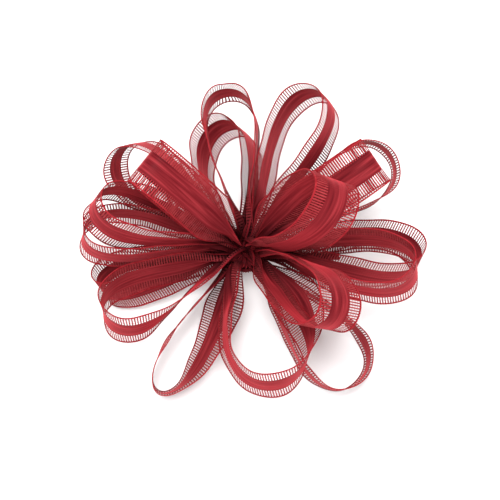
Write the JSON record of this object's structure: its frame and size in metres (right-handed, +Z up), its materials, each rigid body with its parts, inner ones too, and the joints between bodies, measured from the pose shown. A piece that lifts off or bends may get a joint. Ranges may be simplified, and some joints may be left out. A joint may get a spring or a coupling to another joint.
{
  "type": "gift bow",
  "caption": "Pre-made gift bow of wide sheer ribbon with a satin centre stripe, looped all round from a tied waist, with two bendable wire tie legs underneath.",
  "frame": {"origin": "centre of the bow's outline seen from above, on the surface that its lowest loops rest on", "axes": "+Z up, +X to the bow's right and -Y to its front, as the picture shows it from above"},
  "size_m": [0.1538, 0.144, 0.104],
  "materials": {
    "ribbon": "sheer with a satin stripe",
    "tie_cover": "matte",
    "tie_wire": "drawn"
  },
  "bodies": {
    "bow": {"loop_01": "ribbon", "loop_02": "ribbon", "loop_03": "ribbon", "loop_04": "ribbon", "loop_05": "ribbon", "loop_06": "ribbon", "loop_07": "ribbon", "loop_08": "ribbon", "loop_09": "ribbon", "loop_10": "ribbon", "loop_11": "ribbon", "loop_12": "ribbon", "loop_13": "ribbon", "loop_14": "ribbon", "loop_15": "ribbon", "loop_16": "ribbon", "loop_17": "ribbon", "loop_18": "ribbon", "gathered_waist": "ribbon", "tie_coil": "tie_cover"},
    "tie_leg_right": {"tie_leg_right": "tie_cover", "tie_core_right": "tie_wire"},
    "tie_leg_left": {"tie_leg_left": "tie_cover", "tie_core_left": "tie_wire"}
  },
  "joints": [
    {"name": "tie_leg_right_bend", "type": "hinge", "parent": "bow", "child": "tie_leg_right", "pos_m": [0.00391, -0.00302, 0.02], "axis": [-0.0349, 0.9994, 0], "range_deg": [0, 90]},
    {"name": "tie_leg_left_bend", "type": "hinge", "parent": "bow", "child": "tie_leg_left", "pos_m": [-0.01169, -0.00152, 0.02], "axis": [-0.225, -0.9744, 0], "range_deg": [0, 90]}
  ]
}
